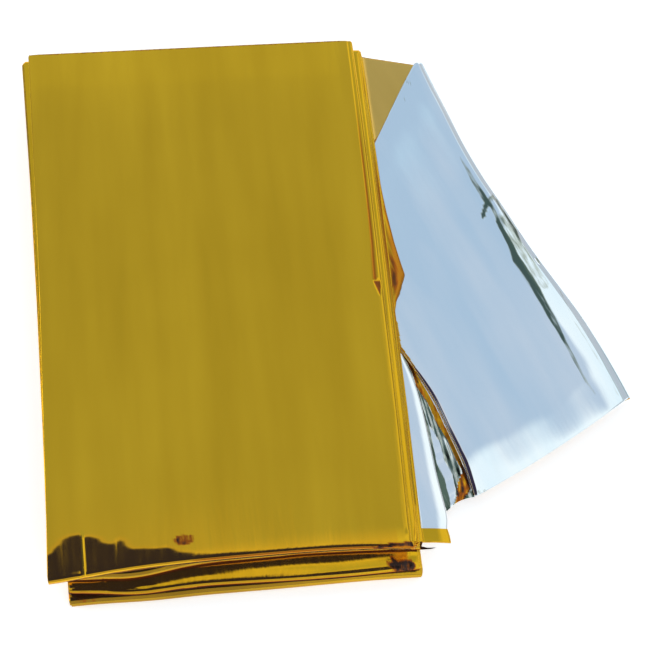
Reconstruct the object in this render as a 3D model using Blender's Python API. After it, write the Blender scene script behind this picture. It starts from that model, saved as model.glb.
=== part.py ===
"""An emergency foil blanket, folded flat, with one loose pleat pulled out on its right side.

The film is folded back and forth into eight layers, and each layer stands for the pleats in it.
+X is the packet's right, +Y its back and +Z up. The origin is the middle of its flat underside.
The constants and tables are in millimetres, and the meshes made from them are in metres.
"""

import math

import bmesh
import bpy

MM = 0.001

# The packet: its layers, counted from the bottom, and the folds that join them
LAYERS = 8
LAYER_THICKNESS = 1.6
LAYER_GAP = 0.4
LAYER_PITCH = LAYER_THICKNESS + LAYER_GAP
FOLD_RADIUS = LAYER_PITCH / 2  # to the middle of the film's layer
FOLD_REACH = FOLD_RADIUS + LAYER_THICKNESS / 2  # to the outside of the fold
HALF_LENGTH = 65.5
TOP_END = 66.4  # the top layer's free end, at the back
LOWEST_END = 65.4  # the bottom layer's free end, under it

# How far the top face rises in its middle, and how uneven it is
CROWN = 0.35
RIPPLE = 0.09
RIPPLE_ACROSS = 9.0
RIPPLE_ALONG = 17.0

# One row a layer, from the bottom: where its two side edges run
SIDE_EDGES = (
    # left_back, left_mid, left_front, right_back, right_mid, right_front
    (-40.6, -40.0, -38.3, 42.0, 42.3, 42.6),
    (-40.3, -39.7, -38.0, 42.4, 42.2, 42.4),
    (-40.4, -39.5, -37.7, 42.2, 42.0, 41.9),
    (-40.8, -39.8, -37.9, 42.6, 42.2, 41.5),
    (-41.4, -41.0, -41.0, 43.8, 43.4, 42.4),
    (-41.8, -41.2, -41.2, 43.2, 42.4, 42.0),
    (-43.1, -41.8, -41.7, 41.9, 41.4, 41.4),
    (-41.3, -40.9, -41.7, 39.9, 39.9, 39.9),
)

# One row a fold, from the bottom, at the front and the back by turns: how far out it lies
FOLD_LINES = (
    # left, middle, right
    (-68.5, -68.8, -69.2),
    (65.2, 65.0, 65.4),
    (-67.1, -66.6, -67.9),
    (65.6, 65.8, 65.3),
    (-65.2, -63.1, -64.2),
    (66.8, 65.8, 65.6),
    (-65.4, -62.8, -64.4),
)

# The lip that one layer pushes out on the right
LIP_LAYER = 4
LIP_OUT = 3.6
LIP_BACK = 36.0
LIP_PEAK = 3.6
LIP_FRONT = -4.5

# The loose layers: both start inside the packet's layers, which carry them
SHEET = 1.0
ROOT_X = 39.5
EDGE_X = 42.8  # where the loose layers leave the packet

# The loose pleat: an upper layer, a soft fold on its right, and a lower layer that lies on the ground
PLEAT_FOLD_RADIUS = 0.75
PLEAT_LOWER_ROOT = 4.8
PLEAT_FALL = 3.2  # over this width the loose layers come down beside the packet
PLEAT_CURL = 1.0
BACK_ROOT = 64.4  # how far back a loose layer can start in the packet
PLEAT_ROWS = (
    # upper_x, upper_y, upper_z, fold_x, fold_y, rise, ridge, lower_y, from the back to the front.
    # The rise is how much higher the upper layer rests than its fold, and the ridge how far inside
    # the fold it starts to fall.
    (39.5, 36.0, 8.8, 60.8, 66.8, 0.6, 3.0, 69.6),
    (39.5, 30.0, 8.8, 62.9, 60.0, 0.8, 3.5, 61.0),
    (39.5, 23.0, 8.8, 65.2, 52.5, 1.1, 4.0, 51.0),
    (39.5, 15.0, 8.8, 68.4, 41.6, 1.5, 5.0, 40.0),
    (39.5, 7.0, 8.8, 72.0, 31.8, 1.9, 6.0, 30.0),
    (39.5, -1.0, 8.8, 76.2, 22.5, 2.2, 7.0, 20.0),
    (40.0, -8.0, 8.8, 81.1, 11.6, 2.4, 8.0, 9.0),
    (42.8, -12.4, 8.5, 84.9, 4.2, 2.4, 9.0, 1.0),
    (44.8, -15.6, 6.0, 86.6, 1.0, 2.4, 9.5, -4.0),
    (46.8, -19.0, 4.7, 88.0, -1.6, 2.4, 10.0, -9.0),
    (50.6, -27.0, 4.6, 91.1, -7.6, 2.4, 11.0, -20.0),
    (53.9, -35.5, 4.5, 94.0, -14.4, 2.4, 11.0, -33.0),
    (56.2, -43.5, 4.4, 97.0, -22.2, 2.2, 11.0, -46.0),
    (57.5, -51.4, 4.0, 99.8, -30.1, 1.7, 11.0, -57.0),
)

# The narrow strip beside the packet: two layers with a fold on the right
STRIP_FOLD_RADIUS = 0.8
STRIP_UPPER_ROOT = 8.8
STRIP_LOWER_ROOT = 6.8
STRIP_ROWS = (
    # root_y, edge_x, edge_y, edge_z, band, from the back to the front. The band is how far the
    # lower layer stands out in front of the upper one.
    (-13.0, 44.2, -15.0, 8.5, 0.0),
    (-21.0, 46.2, -22.5, 7.1, 0.0),
    (-29.0, 47.5, -30.0, 6.2, 0.0),
    (-37.0, 48.4, -38.0, 5.7, 0.0),
    (-45.0, 49.0, -46.0, 5.4, 0.0),
    (-52.0, 49.8, -52.5, 5.2, 0.5),
    (-58.4, 50.0, -58.4, 5.1, 3.2),
)

# How finely each stretch is divided
ACROSS_PACKET = 7
ALONG_LAYER = 9
ROUND_FOLD = 6
ACROSS_PLEAT = 16
INSIDE_STEPS = 2  # of those, the ones inside the packet
FALL_STEPS = 5  # and the ones where it comes down
ACROSS_STRIP = 4

# The film's gold side, which is the outside of the packet
GOLD = (0.52, 0.36, 0.035, 1.0)
FILM_ROUGHNESS = 0.22
FILM_METALLIC = 1.0
SHARP_ANGLE = math.radians(40)


def clear_scene():
    for old in list(bpy.data.objects):
        bpy.data.objects.remove(old)


def film_material():
    film = bpy.data.materials.new("gold_film")
    film.use_nodes = True
    surface = film.node_tree.nodes["Principled BSDF"]
    surface.inputs["Base Color"].default_value = GOLD
    surface.inputs["Roughness"].default_value = FILM_ROUGHNESS
    surface.inputs["Metallic"].default_value = FILM_METALLIC
    return film


def mix(first, second, share):
    return first + (second - first) * share


def ease(share):
    """A smooth step from 0 to 1."""
    share = min(max(share, 0.0), 1.0)
    return share * share * (3 - 2 * share)


def through_three(share, start, middle, end):
    """A smooth curve through three evenly spaced values."""
    at_start = (1 - share) * (1 - 2 * share)
    at_middle = 4 * share * (1 - share)
    at_end = share * (2 * share - 1)
    return start * at_start + middle * at_middle + end * at_end


def shares(steps):
    return [step / steps for step in range(steps + 1)]


def pleat_shares(start, fold_middle):
    """Shares of the way from a loose layer's start to its fold, closer together where it comes down."""
    near = []
    if start < EDGE_X:
        near = [mix(start, EDGE_X, step / INSIDE_STEPS) for step in range(INSIDE_STEPS)]
    first = max(start, EDGE_X)
    near += [first + PLEAT_FALL * step / FALL_STEPS for step in range(FALL_STEPS)]
    beyond = first + PLEAT_FALL
    rest = ACROSS_PLEAT - len(near)
    places = near + [mix(beyond, fold_middle, step / rest) for step in range(rest + 1)]
    return [(x - start) / (fold_middle - start) for x in places]


def turns(steps):
    """The angles round a half turn, without its two ends."""
    return [math.pi * step / steps for step in range(1, steps)]


def layer_height(layer):
    return LAYER_THICKNESS / 2 + layer * LAYER_PITCH


def lip(y):
    """How far the lip stands out at this y: a slow rise from the back and a quick fall in front."""
    if y >= LIP_PEAK:
        return LIP_OUT * max(0.0, (LIP_BACK - y) / (LIP_BACK - LIP_PEAK)) ** 2
    return LIP_OUT * max(0.0, (y - LIP_FRONT) / (LIP_PEAK - LIP_FRONT))


def side_edges(layer, y):
    """The x of a layer's left and right edge at this y."""
    row = SIDE_EDGES[layer]
    forward = (HALF_LENGTH - y) / (2 * HALF_LENGTH)
    left = through_three(forward, *row[:3])
    right = through_three(forward, *row[3:])
    if layer == LIP_LAYER:
        right += lip(y)
    return left, right


def crowned(x, y, z):
    """The height of a point of the packet, raised most on the top layer and not at all on the bottom one."""
    depth = (z - layer_height(0)) / (layer_height(LAYERS - 1) - layer_height(0))
    hump = math.cos(math.pi * x / 90) * math.cos(math.pi * y / 140) - 0.8
    ripple = math.sin(x / RIPPLE_ACROSS + 0.6) * math.cos(y / RIPPLE_ALONG + 1.1)
    return z + depth * (CROWN * hump + RIPPLE * ripple)


def layer_ends(layer, across):
    """The y at which a layer's level stretch ends, at its front and at its back."""
    ends = []
    for fold in (layer - 1, layer):
        if 0 <= fold < LAYERS - 1:
            line = through_three(across, *FOLD_LINES[fold])
            ends.append(line - math.copysign(FOLD_REACH, line))
    if layer == 0:
        ends.append(LOWEST_END)
    if layer == LAYERS - 1:
        ends.append(TOP_END)
    return min(ends), max(ends)


def layer_row(layer, along):
    """Points across a layer, this share of the way from its back to its front."""
    row = []
    for across in shares(ACROSS_PACKET):
        front, back = layer_ends(layer, across)
        y = mix(back, front, along)
        x = mix(*side_edges(layer, y), across)
        row.append((x, y, crowned(x, y, layer_height(layer))))
    return row


def fold_row(layer, turn):
    """Points across the fold that joins a layer to the one under it, at this angle round the fold."""
    row = []
    middle_z = layer_height(layer) - FOLD_RADIUS
    for across in shares(ACROSS_PACKET):
        line = through_three(across, *FOLD_LINES[layer - 1])
        inwards = FOLD_REACH - FOLD_RADIUS * math.sin(turn)
        y = line - math.copysign(inwards, line)
        z = middle_z + FOLD_RADIUS * math.cos(turn)
        upper = mix(*side_edges(layer, y), across)
        lower = mix(*side_edges(layer - 1, y), across)
        x = mix(upper, lower, turn / math.pi)
        row.append((x, y, crowned(x, y, z)))
    return row


def packet_grid():
    """Rows across the film, from the top layer's back end down to the bottom layer's."""
    rows = []
    for layer in reversed(range(LAYERS)):
        forwards = layer % 2 == 1
        for along in shares(ALONG_LAYER):
            rows.append(layer_row(layer, along if forwards else 1 - along))
        if layer > 0:
            rows += [fold_row(layer, turn) for turn in turns(ROUND_FOLD)]
    return rows


def pleat_grid():
    """Rows across the loose pleat: the upper layer, the fold on its right and the lower layer."""
    rows = []
    ground = SHEET / 2
    level = ground + 2 * PLEAT_FOLD_RADIUS
    for upper_x, upper_y, upper_z, fold_x, fold_y, rise, ridge, lower_y in PLEAT_ROWS:
        fold_middle = fold_x - PLEAT_FOLD_RADIUS
        curl = PLEAT_CURL if upper_x > EDGE_X else 0.0
        row = [(upper_x - 0.4, upper_y, upper_z - curl)]
        for share in pleat_shares(upper_x, fold_middle):
            x = mix(upper_x, fold_middle, share)
            y = mix(upper_y, fold_y, share)
            fall = ease((x - max(upper_x, EDGE_X)) / PLEAT_FALL)
            resting = level + rise * ease((fold_middle - x) / ridge)
            row.append((x, y, mix(upper_z, resting, fall)))
        for turn in turns(ROUND_FOLD):
            x = fold_middle + PLEAT_FOLD_RADIUS * math.sin(turn)
            z = ground + PLEAT_FOLD_RADIUS * (1 + math.cos(turn))
            row.append((x, fold_y, z))
        for backwards in reversed(pleat_shares(ROOT_X, fold_middle)):
            share = 1 - backwards
            x = mix(fold_middle, ROOT_X, share)
            y = mix(fold_y, lower_y, share)
            y -= max(0.0, lower_y - BACK_ROOT) * ease((EDGE_X + 2.0 - x) / 4.0)
            rise_in = ease((x - EDGE_X) / PLEAT_FALL)
            row.append((x, y, mix(PLEAT_LOWER_ROOT, ground, rise_in)))
        rows.append(row)
    return rows


def strip_grid():
    """Rows across the narrow strip: the upper layer, the fold on its right and the lower layer."""
    rows = []
    for root_y, edge_x, edge_y, edge_z, band in STRIP_ROWS:
        fold_middle = edge_x - STRIP_FOLD_RADIUS
        under_z = edge_z - 2 * STRIP_FOLD_RADIUS
        row = []
        for share in shares(ACROSS_STRIP):
            x = mix(ROOT_X, fold_middle, share)
            fall = ease((x - EDGE_X) / (fold_middle - EDGE_X))
            row.append((x, mix(root_y, edge_y, share), mix(STRIP_UPPER_ROOT, edge_z, fall)))
        for turn in turns(ROUND_FOLD):
            x = fold_middle + STRIP_FOLD_RADIUS * math.sin(turn)
            z = mix(under_z, edge_z, (1 + math.cos(turn)) / 2)
            row.append((x, edge_y - band * turn / math.pi, z))
        for share in shares(ACROSS_STRIP):
            x = mix(fold_middle, ROOT_X, share)
            fall = ease((x - EDGE_X) / (fold_middle - EDGE_X))
            y = mix(edge_y, root_y, share) - band
            row.append((x, y, mix(STRIP_LOWER_ROOT, under_z, fall)))
        rows.append(row)
    return rows


def sheet_object(name, grid, thickness, film):
    """A closed sheet of this thickness, with the grid of points halfway through it."""
    shape = bmesh.new()
    points = [[shape.verts.new([size * MM for size in point]) for point in row] for row in grid]
    for this, following in zip(points, points[1:]):
        for left in range(len(this) - 1):
            shape.faces.new((this[left], this[left + 1], following[left + 1], following[left]))
    bmesh.ops.recalc_face_normals(shape, faces=shape.faces)
    mesh = bpy.data.meshes.new(name)
    shape.to_mesh(mesh)
    shape.free()
    mesh.materials.append(film)
    mesh.shade_smooth()
    mesh.set_sharp_from_angle(angle=SHARP_ANGLE)
    sheet = bpy.data.objects.new(name, mesh)
    bpy.context.collection.objects.link(sheet)
    solid = sheet.modifiers.new("thickness", "SOLIDIFY")
    solid.thickness = thickness * MM
    solid.offset = 0.0
    solid.use_even_offset = True
    solid.use_quality_normals = True
    return sheet


def join(body, tool):
    """Makes the tool part of the body."""
    tool.hide_render = True
    tool.display_type = "WIRE"
    union = body.modifiers.new("with_" + tool.name, "BOOLEAN")
    union.operation = "UNION"
    union.solver = "EXACT"
    union.object = tool


def main():
    clear_scene()
    film = film_material()
    blanket = sheet_object("foil_blanket", packet_grid(), LAYER_THICKNESS, film)
    join(blanket, sheet_object("loose_pleat", pleat_grid(), SHEET, film))
    join(blanket, sheet_object("narrow_strip", strip_grid(), SHEET, film))


main()
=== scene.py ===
"""How an emergency foil blanket looks: a packet of pleated film, and one loose pleat pulled out on its right.

+X is the packet's right, +Y its back and +Z up, and the origin is the middle of its underside.
The tables and constants are in millimetres. The meshes, the materials and the studio are in metres.
"""

import math

import bpy
import numpy as np
from mathutils import Matrix, Vector


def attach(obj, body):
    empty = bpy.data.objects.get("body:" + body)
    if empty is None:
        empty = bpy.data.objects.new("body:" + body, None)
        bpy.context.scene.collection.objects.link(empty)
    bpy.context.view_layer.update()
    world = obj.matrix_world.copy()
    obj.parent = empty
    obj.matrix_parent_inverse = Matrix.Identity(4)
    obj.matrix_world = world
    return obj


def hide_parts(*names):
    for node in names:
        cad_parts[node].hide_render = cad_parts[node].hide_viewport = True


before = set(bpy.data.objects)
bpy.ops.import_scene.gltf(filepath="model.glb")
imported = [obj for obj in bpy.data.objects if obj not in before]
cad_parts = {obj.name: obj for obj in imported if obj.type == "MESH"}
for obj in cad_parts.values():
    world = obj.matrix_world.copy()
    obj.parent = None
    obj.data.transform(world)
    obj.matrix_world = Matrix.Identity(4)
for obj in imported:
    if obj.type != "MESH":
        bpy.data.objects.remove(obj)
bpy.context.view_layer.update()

MM = 0.001
dice = np.random.RandomState(11)

# ---- the packet
# The film is doubled, pleated into a band and folded back and forth into layers.
LAYERS = 8
TOP = LAYERS - 1
PITCH = 1.98
THICKNESS = 1.86
FIRST_HEIGHT = 0.97  # of the middle of the lowest layer
TOP_HEIGHT = 15.8
BUNDLE = 4  # so many layers lie under the gap, where the loose pleat comes out
BUNDLE_GAP = 0.14
PLEATS = 20
FILM_PITCH = THICKNESS / (2 * PLEATS)
REACH = (PITCH + THICKNESS) / 2  # a fold's outer radius

# One row a layer, from the bottom: where its two side edges run
SIDE_EDGES = np.array((
    # left_back, left_mid, left_front, right_back, right_mid, right_front
    (-40.6, -40.0, -38.3, 42.0, 42.3, 42.6),
    (-40.3, -39.7, -38.0, 42.4, 42.2, 42.4),
    (-40.4, -39.5, -37.7, 42.2, 42.0, 41.9),
    (-40.8, -39.8, -37.9, 42.6, 42.2, 41.5),
    (-41.4, -41.0, -41.0, 43.8, 43.4, 42.4),
    (-41.8, -41.2, -41.2, 43.2, 42.9, 40.9),
    (-43.1, -41.8, -41.7, 42.5, 41.9, 41.0),
    (-41.3, -40.9, -41.7, 40.3, 40.1, 38.8),
))

# One row a fold, from the bottom, at the front and the back by turns: how far out it lies
FOLD_LINES = np.array((
    # left, middle, right
    (-68.5, -68.65, -69.2),
    (65.2, 65.0, 65.4),
    (-66.4, -67.95, -68.3),
    (65.6, 65.8, 65.3),
    (-64.4, -63.15, -64.2),
    (66.8, 65.8, 65.6),
    (-65.4, -63.35, -64.9),
))
# Where a fold stands further out: how far, the middle as a share of the way across, and the half width
FOLD_BULGES = {0: (0.4, 0.22, 0.12), 2: (0.95, 0.19, 0.11), 4: (1.3, 0.22, 0.11)}
# How square each fold is, in its upper half and its lower half: 1 is a chamfer, 2 is round
FOLD_SHAPES = ((2.4, 2.6), (2.0, 2.0), (5.0, 1.8), (2.0, 2.0), (3.0, 1.6), (2.0, 2.0), (8.0, 1.5))
HALF_LENGTH = 65.5
TOP_END = 66.4
LOWEST_END = 65.4
BULGE = (0.15, 0.35)  # how far the middle of a layer's left and right side stands out
# How much thinner a layer is at its left and right edge, and over what width it thins
PINCH = ((0.06, 1.6), (0.25, 2.2))

# The lip that one layer pushes out on the right: how far, and the y of its two ends and its peak
LIP_LAYER = 4
LIP_OUT = 3.6
LIP_BACK, LIP_PEAK, LIP_FRONT = 36.0, 3.6, -4.5

# The dark spike of film at the right end of one front fold: how far round the fold it is, and how far out
SPIKE_LAYER = 5
SPIKE_TURN = 1.9
SPIKE_OUT = 3.8


def smooth(low, high, value):
    """A smooth step from 0 at low to 1 at high."""
    share = np.clip((value - low) / (high - low), 0.0, 1.0)
    return share * share * (3 - 2 * share)


def window(value, low, full, fading, high):
    """Rises smoothly from 0 at low to 1 at full, and falls from 1 at fading to 0 at high."""
    return smooth(low, full, value) * smooth(high, fading, value)


def hump(value, wide):
    """1 where the value is 0, falling off smoothly on both sides."""
    return np.exp(-((value / wide) ** 2))


def mix(first, second, share):
    return first + (second - first) * share


def spread(*runs):
    """Runs of evenly spaced values, each given by its first, its last and their number."""
    return np.concatenate([np.linspace(*run) for run in runs])


def read(table, place):
    """The value at each place of a table with two columns, along straight lines between its rows."""
    return np.interp(place, *np.transpose(table))


def through_three(share, start, middle, end):
    """A smooth curve through three evenly spaced values."""
    return (
        start * (1 - share) * (1 - 2 * share)
        + middle * 4 * share * (1 - share)
        + end * share * (2 * share - 1)
    )


def along_table(table, place):
    """A smooth curve through a table's rows: place 0 is the first row, 1 the second and so on."""
    table = np.array(table)
    last = len(table) - 1
    start = min(int(place), last - 1)
    part = place - start
    before, here = table[max(start - 1, 0)], table[start]
    there, after = table[start + 1], table[min(start + 2, last)]
    leave, arrive = (there - before) / 2, (after - here) / 2
    return (
        here * (2 * part**3 - 3 * part**2 + 1)
        + leave * (part**3 - 2 * part**2 + part)
        + there * (3 * part**2 - 2 * part**3)
        + arrive * (part**3 - part**2)
    )


def layer_height(layer):
    return FIRST_HEIGHT + layer * PITCH + (BUNDLE_GAP if layer >= BUNDLE else 0.0)


def lip(y):
    """How far the lip stands out at each y."""
    back = LIP_OUT * np.clip((LIP_BACK - y) / (LIP_BACK - LIP_PEAK), 0, 1) ** 2
    front = LIP_OUT * np.clip((y - LIP_FRONT) / (LIP_PEAK - LIP_FRONT), 0, 1)
    return np.where(y >= LIP_PEAK, back, front)


def side_edge(layer, side, y):
    """The x of a layer's left (0) or right (1) edge at each y."""
    forward = (HALF_LENGTH - y) / (2 * HALF_LENGTH)
    edge = through_three(forward, *SIDE_EDGES[layer][3 * side : 3 * side + 3])
    if layer == LIP_LAYER and side == 1:
        edge = edge + lip(y)
    return edge


# Where the top face turns down towards its front edge, from the left to the right
TURN_DOWN = (
    # x, y
    (-45.0, -61.0), (-41.6, -59.2), (-40.6, -58.4), (-39.6, -57.4), (-38.4, -56.2), (-37.2, -55.4),
    (-34.1, -55.3), (-33.7, -56.4), (-33.3, -55.5), (-30.7, -56.2), (-28.8, -57.6), (-27.2, -58.0),
    (-25.4, -56.6), (-24.4, -57.6), (-23.6, -59.2), (-19.0, -59.6), (-14.8, -59.9), (-13.0, -61.0),
    (-9.0, -61.6), (0.0, -62.4), (45.0, -62.6),
)
TURN_SLOPE = ((-14.0, 0.09), (-8.0, 0.03), (45.0, 0.0))  # how steep it is there, at each x


def fine_wave(x):
    """An uneven wave across the film."""
    return np.sin(x * 3.1 + 0.4) * 0.5 + np.sin(x * 7.3 + 1.9) * 0.3 + np.sin(x * 12.7) * 0.2


# The groove inside the top film's right edge, from the notch to the back: y, x
GROOVE = ((0.2, 37.9), (3.0, 38.0), (10.4, 38.4), (26.5, 38.75), (66.0, 39.0))
GROOVE_DEPTH = 0.10
BEAD_WIDE = 3.0  # from how far inside the groove the film falls towards it
NOTCH = ((37.6, -0.3), (39.3, -0.3), (38.8, -4.0))  # the dip in front of the groove's end
# In front of the notch the film bends down to its right edge: the slope at each distance inside it
BEND = ((0.0, 0.05), (0.4, 0.06), (1.1, 0.085), (1.8, 0.12), (2.4, 0.14), (3.1, 0.12), (5.5, 0.0))
BEND_INSIDE = np.linspace(0.0, BEND[-1][0], 111)
BEND_DROP = np.cumsum(read(BEND, BEND_INSIDE)[::-1])[::-1] * BEND_INSIDE[1]


def right_roll(x, y):
    """The top film's right edge: a groove and a bead behind the notch, and a soft bend in front."""
    beyond = x - read(GROOVE, y)
    bead = GROOVE_DEPTH * (smooth(0.12, 0.7, beyond) - smooth(-0.2, 0.12, beyond))
    bead -= 0.10 * np.maximum(beyond - 0.7, 0)
    bead -= 0.0233 * np.clip(beyond + BEAD_WIDE, 0, BEAD_WIDE) ** 2
    narrow = np.interp(y, (-60, -45), (0.75, 1.0))
    inside = (side_edge(TOP, 1, y) - x) / narrow
    bend = -narrow * (np.interp(inside, BEND_INSIDE, BEND_DROP) + 0.09 * np.maximum(-inside, 0))
    return mix(bend, bead, smooth(0.05, 0.5, y)) - GROOVE_DEPTH * in_notch(x, y)


def in_notch(x, y):
    """1 in the small three-cornered dip in front of the groove's end."""
    (left, back), (right, _), (tip_x, tip_y) = NOTCH
    part = np.clip((back - y) / (back - tip_y), 0, 1)
    low, high = mix(left, tip_x, part), mix(right, tip_x, part)
    between = window(x, low - 0.1, low + 0.1, high - 0.1, high + 0.1)
    return between * smooth(back + 0.2, back, y) * (part < 1)


def turned_down(x, y):
    """How far the top film has come down past the line where it turns down."""
    past = read(TURN_DOWN, x) + 0.35 * fine_wave(x) - y
    return read(TURN_SLOPE, x) * (np.hypot(np.maximum(past, 0), 0.15) - 0.15)


# Further right the top face falls softly to its front: where that starts and how steep it ends, at each x,
# and where it ends
FALL_START = ((-12, -60.6), (0, -60.0), (20, -58.8), (40, -58.0))
FALL_SLOPE = ((-14, 0.0), (-6, 0.036), (12, 0.038), (34, 0.066))
FALL_END = -63.3
BRIGHT_CREASE = -33.7  # the x of the thin bright crease through the place where it turns down


def top_relief(x, y):
    """How far the top face rises or falls from flat."""
    relief = 0.30 * np.cos(np.pi * x / 90) * np.cos(np.pi * y / 140) - 0.2
    relief += 0.05 * np.sin(x / 9 + 0.6) * np.cos(y / 17 + 1.1)
    relief -= turned_down(x, y)
    relief += 0.09 * hump(x - BRIGHT_CREASE, 0.22) * smooth(-54.5, -56.0, y)
    start = read(FALL_START, x)
    length = start - FALL_END
    relief -= read(FALL_SLOPE, x) / (2 * length) * np.clip(start - y, 0, length) ** 2
    relief += right_roll(x, y)
    left_roll, back_roll = np.clip((-38.6 - x) / 2.4, 0, 1.4), np.clip((y - 61.0) / 5.0, 0, 1.3)
    return relief - 0.04 * left_roll**2 - 0.25 * back_roll**2


# Where the layers of the lower bundle start to come down at their front, at each x
DROOP_START = (
    (-41.0, -63.8), (-33.0, -64.6), (-24.0, -65.3), (-14.0, -63.9), (0.0, -63.0), (11.0, -63.1),
    (23.0, -63.1), (34.0, -63.2), (41.0, -63.0),
)


def droop(x, y):
    """How far the lower bundle comes down at its front: a short slope first, and then a curve."""
    past = np.maximum(read(DROOP_START, x) - y, 0)
    curve = np.interp(x, (12, 34), (0.0085, 0.014))
    return 0.25 * np.clip(past, 0, 1.2) + curve * np.maximum(past - 1.6, 0) ** 2


def lifted(x, y, z):
    """Moves a point of the packet up or down: the top face most and the underside not at all.

    The lower bundle has its own fall at the front, and doesn't turn down as the top does.
    """
    lower = window(z, 2.8, 7.8, 7.8, 9.5)
    relief = top_relief(x, y) + lower * turned_down(x, y)
    return z + np.clip(z / TOP_HEIGHT, 0, 1) ** 1.3 * relief - lower * droop(x, y)


# How far in each pleat's fold lies in each layer, save the top film's two, and where its wave starts
JITTER = np.abs(dice.normal(0, 0.3, (PLEATS + 1, LAYERS)))
JITTER[:2, TOP] = 0.0
WAVES = dice.uniform(0, 2 * np.pi, (PLEATS + 1, LAYERS))

# Where the columns of the top pleat, of the others and of the last one lie, as shares of the way across
TOP_SHARES = np.unique(np.round(np.concatenate((
    spread((0, 0.001, 2), (0.006, 0.40, 36), (0.43, 0.84, 14), (0.855, 0.95, 9), (0.958, 0.992, 17)),
    (0.996, 0.999, 1),
    (0.0875, 0.0905, 0.093, 0.0955, 0.0985, 0.1015),  # the bright crease
)), 4))
INNER_SHARES = np.array((0, 0.003, 0.03, 0.2, 0.42, 0.7, 0.955, 0.978, 0.997, 1))
LAST_SHARES = np.array((
    0, 0.003, 0.03, 0.2, 0.42, 0.7, 0.948, 0.957, 0.963, 0.969, 0.975, 0.981, 0.986, 0.991, 0.994, 0.997, 1,
))
# Where the rows of a layer lie, as shares of the way from its back to its front
NOTCH_PLACES = (TOP_END - np.array((1.2, 0.6, 0.35, 0.1, -0.2, -0.5, -1.3, -2.3, -3.2, -4.0, -4.4))) / 128.7
TOP_PLACES = np.unique(np.concatenate((
    (0, 0.0008, 0.004), spread((0.012, 0.9, 26), (0.905, 1, 30)), NOTCH_PLACES,
)))
UNDER_PLACES = (0, 0.0008, 0.004, 0.1, 0.3, 0.5, 0.7, 0.85, 0.91, 0.935, 0.96, 0.98, 1)
LAYER_PLACES = (
    *((0, 0.25, 0.5, 0.75, 0.95, 1),) * 3,
    (0, 0.3, 0.6, 0.88, 0.93, 0.95, 0.963, 0.974, 0.984, 0.993, 1),
    (0, 0.15, 0.3, 0.6, 0.75, 0.9, 1),
    *((0, 0.15, 0.3, 0.45, 0.6, 0.75, 0.9, 1),) * 2,
)
LIP_PLACES = (65.0 - np.array((30, 22, 14, 8, 5, 3.6, 2.2, 0, -2, -4.5, -6))) / 126.6
FOLD_ROWS = (15, 9, 17, 9, 17, 9, 21)  # how many rows go round each fold
TOP_CLEARANCE = 0.12  # how far the top film lies above the rest


def layer_places(layer, coarse):
    """Where a layer's rows lie: few for the inner half of the film and more for the outer one."""
    if layer == TOP:
        return UNDER_PLACES if coarse else TOP_PLACES
    places = np.linspace(0, 1, 5) if coarse else LAYER_PLACES[layer]
    return np.unique(np.concatenate((places, LIP_PLACES))) if layer == LIP_LAYER else places


def packet_columns():
    """Each column of the film: its pleat, how far across, and 1 on the fold to the next pleat."""
    columns = []
    for pleat in range(PLEATS):
        shares = INNER_SHARES if pleat < PLEATS - 1 else LAST_SHARES
        shares = shares if pleat % 2 == 0 else 1 - shares[::-1]
        for share in TOP_SHARES if pleat == 0 else shares:
            columns.append((pleat, share, 0))
        if pleat < PLEATS - 1:
            columns.append((pleat, 1.0, 1))
    return np.array(columns, float)


def packet_rows():
    """Each row of the film: 0 on its outer and 1 on its inner half, the layer, how far along, and the turn.

    A row with a turn, from 0 to pi, lies on the fold between its layer and the one below.
    """
    outer = []
    for layer in reversed(range(LAYERS)):
        level = [(0, layer, along, 0.0) for along in layer_places(layer, False)]
        outer += level if layer % 2 else level[::-1]
        if layer:
            turns = np.linspace(0, np.pi, FOLD_ROWS[layer - 1])[1:-1]
            outer += [(0, layer, 0.0, turn) for turn in turns]
    inner = []
    for layer in range(LAYERS):
        level = [(1, layer, along, 0.0) for along in layer_places(layer, True)]
        inner += level[::-1] if layer % 2 else level
        if layer < TOP:
            turns = np.linspace(np.pi, 0, 7)[1:-1]
            inner += [(1, layer + 1, 0.0, turn) for turn in turns]
    return inner + outer


COLUMNS = packet_columns()


def film_order(half, pleat):
    """Where a film comes in a layer's stack, from 0."""
    return 2 * pleat + np.where(pleat % 2 == 0, half, 1 - half)


def edge_of(fold, layer, y, level):
    """The x of a pleat's fold in a layer."""
    fold = fold.astype(int)
    inward = np.take(BULGE, fold % 2) * (level / (THICKNESS / 2)) ** 2
    inward = inward + JITTER[fold, layer] + 0.07 * np.sin(y / 11 + WAVES[fold, layer])
    return np.where(fold % 2, side_edge(layer, 1, y) - inward, side_edge(layer, 0, y) + inward)


def beside_fall(layer, x, y, upward, covered):
    """How far a layer falls on the right, beside the edges of the layers above it."""
    high = 0.5 + upward / THICKNESS
    if layer == TOP:
        return covered * 0.22 * smooth(33.5, 37.0, x) * high
    if layer == LIP_LAYER:
        return 0.2 * np.maximum(x - 44.1, 0) * smooth(36, 28, y)
    fall = np.zeros(x.shape)
    if layer > LIP_LAYER:
        beyond = x - side_edge(layer + 1, 1, y)
        fall += 0.15 * smooth(-6, 4, y) * high * hump(beyond + 0.05, 0.5)
        if layer == TOP - 1:
            fall += 0.12 * np.maximum(beyond - 0.2, 0)
    return fall


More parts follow.
